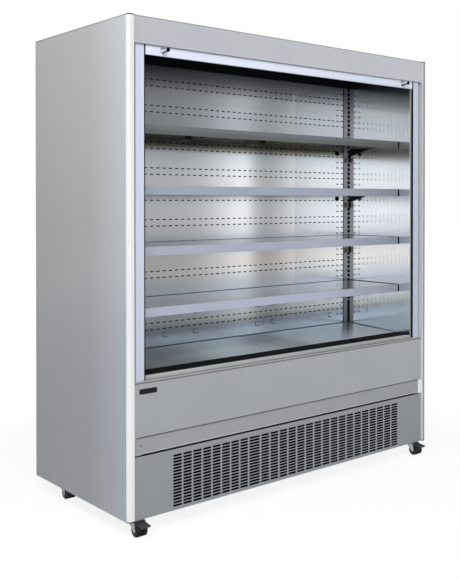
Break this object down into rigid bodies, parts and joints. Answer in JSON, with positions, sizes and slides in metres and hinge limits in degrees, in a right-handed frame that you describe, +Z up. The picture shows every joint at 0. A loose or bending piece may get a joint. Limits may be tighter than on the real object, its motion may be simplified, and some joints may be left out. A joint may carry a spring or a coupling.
{
  "type": "open multideck display fridge",
  "caption": "Tall open-fronted display fridge on braked castors, with shelves on hooked brackets, a pull-down night blind and a slotted air inlet panel.",
  "frame": {"origin": "on the floor under the middle of the whole object, front brake pedals included", "axes": "+X to the right seen from the front, +Y to the back, +Z up"},
  "size_m": [1.785, 0.778, 1.984],
  "materials": {
    "side_steel": "smooth grey coated steel, satin",
    "post_trim": "bright satin extrusion",
    "black_plastic": "fine matt moulding",
    "front_steel": "fine horizontal grain, satin",
    "insulation": "rigid polyurethane foam in thin grey skins",
    "mirror_steel": "bright annealed stainless steel",
    "ceiling_black": "black matt coating",
    "trim_grey": "pale blue-grey coated steel",
    "gasket_rubber": "matt black",
    "shelf_steel": "pale grey coated steel",
    "rail_grey": "satin anodised",
    "bracket_steel": "grey coated steel",
    "grille_black": "fine matt moulding",
    "bar_aluminium": "satin extrusion with a bright lip",
    "chrome": "polished chrome plating",
    "blind_cloth": "metallised blind cloth",
    "galvanised": "galvanised steel with small spangle",
    "fin_aluminium": "thin fins",
    "compressor_black": "black enamel",
    "fan_plastic": "moulded",
    "castor_zinc": "zinc plated pressing",
    "castor_tyre": "matt black",
    "pedal_plastic": "grained moulding",
    "badge": "gloss black, bare"
  },
  "bodies": {
    "cabinet": {"back_panel_lower": "mirror_steel", "back_panel_plugs": "black_plastic", "back_panel_upper": "mirror_steel", "badge_plate": "badge", "base_pan": "galvanised", "canopy_panel": "front_steel", "castor_mounts": "castor_zinc", "ceiling_panel": "ceiling_black", "compressor": "compressor_black", "condenser": "fin_aluminium", "condenser_shroud": "galvanised", "corner_posts": "post_trim", "deck_tray": "mirror_steel", "drip_tray": "galvanised", "evaporator": "fin_aluminium", "evaporator_fan_plate": "galvanised", "fascia_panel": "front_steel", "front_beam": "galvanised", "front_ledge": "trim_grey", "grille_panel": "front_steel", "guide_gaskets": "gasket_rubber", "guide_trims": "trim_grey", "insulated_roof": "insulation", "insulated_tub": "insulation", "panel_screws": "chrome", "post_caps": "black_plastic", "price_rails": "rail_grey", "rear_service_panel": "galvanised", "rear_wall": "insulation", "return_air_grille": "grille_black", "roller_brackets": "galvanised", "shelf_1": "shelf_steel", "shelf_2": "shelf_steel", "shelf_3": "shelf_steel", "shelf_4": "shelf_steel", "shelf_brackets": "bracket_steel", "shelf_uprights": "bracket_steel", "side_liners": "mirror_steel", "side_panel_left": "side_steel", "side_panel_right": "side_steel", "side_walls": "insulation", "strip_panel": "front_steel"},
    "castor_front_left": {"fork_front_left": "castor_zinc"},
    "castor_wheels_front_left": {"wheels_front_left": "castor_tyre"},
    "brake_front_left": {"pedal_front_left": "pedal_plastic"},
    "castor_front_right": {"fork_front_right": "castor_zinc"},
    "castor_wheels_front_right": {"wheels_front_right": "castor_tyre"},
    "brake_front_right": {"pedal_front_right": "pedal_plastic"},
    "castor_rear_left": {"fork_rear_left": "castor_zinc"},
    "castor_wheels_rear_left": {"wheels_rear_left": "castor_tyre"},
    "castor_rear_right": {"fork_rear_right": "castor_zinc"},
    "castor_wheels_rear_right": {"wheels_rear_right": "castor_tyre"},
    "night_blind": {"blind_bar": "bar_aluminium", "bar_knobs": "chrome", "blind_fabric": "blind_cloth"},
    "blind_roll": {"blind_roller": "blind_cloth"},
    "condenser_fan_rotor": {"condenser_fan": "fan_plastic"},
    "evaporator_fan_left_rotor": {"evaporator_fan_left": "fan_plastic"},
    "evaporator_fan_right_rotor": {"evaporator_fan_right": "fan_plastic"}
  },
  "joints": [
    {"name": "swivel_front_left", "type": "hinge", "parent": "cabinet", "child": "castor_front_left", "pos_m": [-0.8325, -0.32, 0.065], "axis": [0, 0, 1], "continuous": true},
    {"name": "roll_front_left", "type": "hinge", "parent": "castor_front_left", "child": "castor_wheels_front_left", "pos_m": [-0.8325, -0.345, 0.025], "axis": [1, 0, 0], "continuous": true},
    {"name": "brake_front_left", "type": "hinge", "parent": "castor_front_left", "child": "brake_front_left", "pos_m": [-0.8325, -0.342, 0.0535], "axis": [1, 0, 0], "range_deg": [0, 6]},
    {"name": "swivel_front_right", "type": "hinge", "parent": "cabinet", "child": "castor_front_right", "pos_m": [0.8325, -0.32, 0.065], "axis": [0, 0, 1], "continuous": true},
    {"name": "roll_front_right", "type": "hinge", "parent": "castor_front_right", "child": "castor_wheels_front_right", "pos_m": [0.8325, -0.345, 0.025], "axis": [1, 0, 0], "continuous": true},
    {"name": "brake_front_right", "type": "hinge", "parent": "castor_front_right", "child": "brake_front_right", "pos_m": [0.8325, -0.342, 0.0535], "axis": [1, 0, 0], "range_deg": [0, 6]},
    {"name": "swivel_rear_left", "type": "hinge", "parent": "cabinet", "child": "castor_rear_left", "pos_m": [-0.8325, 0.226, 0.065], "axis": [0, 0, 1], "continuous": true},
    {"name": "roll_rear_left", "type": "hinge", "parent": "castor_rear_left", "child": "castor_wheels_rear_left", "pos_m": [-0.8325, 0.201, 0.025], "axis": [1, 0, 0], "continuous": true},
    {"name": "swivel_rear_right", "type": "hinge", "parent": "cabinet", "child": "castor_rear_right", "pos_m": [0.8325, 0.226, 0.065], "axis": [0, 0, 1], "continuous": true},
    {"name": "roll_rear_right", "type": "hinge", "parent": "castor_rear_right", "child": "castor_wheels_rear_right", "pos_m": [0.8325, 0.201, 0.025], "axis": [1, 0, 0], "continuous": true},
    {"name": "blind_pull", "type": "slide", "parent": "cabinet", "child": "night_blind", "axis": [0, 0, 1], "range_m": [-1.229, 0], "stiffness_N_per_m": 25, "springref_m": 1.2, "deforming": ["blind_fabric"]},
    {"name": "blind_winding", "type": "hinge", "parent": "cabinet", "child": "blind_roll", "pos_m": [0, -0.3204, 1.932], "axis": [1, 0, 0], "range_deg": [0, 3710]},
    {"name": "condenser_fan_spin", "type": "hinge", "parent": "cabinet", "child": "condenser_fan_rotor", "pos_m": [-0.37, -0.255, 0.177], "axis": [0, 1, 0], "continuous": true},
    {"name": "evaporator_fan_left_spin", "type": "hinge", "parent": "cabinet", "child": "evaporator_fan_left_rotor", "pos_m": [-0.35, -0.171, 0.52162], "axis": [0, 1, 0], "continuous": true},
    {"name": "evaporator_fan_right_spin", "type": "hinge", "parent": "cabinet", "child": "evaporator_fan_right_rotor", "pos_m": [0.35, -0.171, 0.52162], "axis": [0, 1, 0], "continuous": true}
  ],
  "couplings": [
    {"joint": "blind_winding", "follows": "blind_pull", "rad_per_m": -52.632}
  ]
}
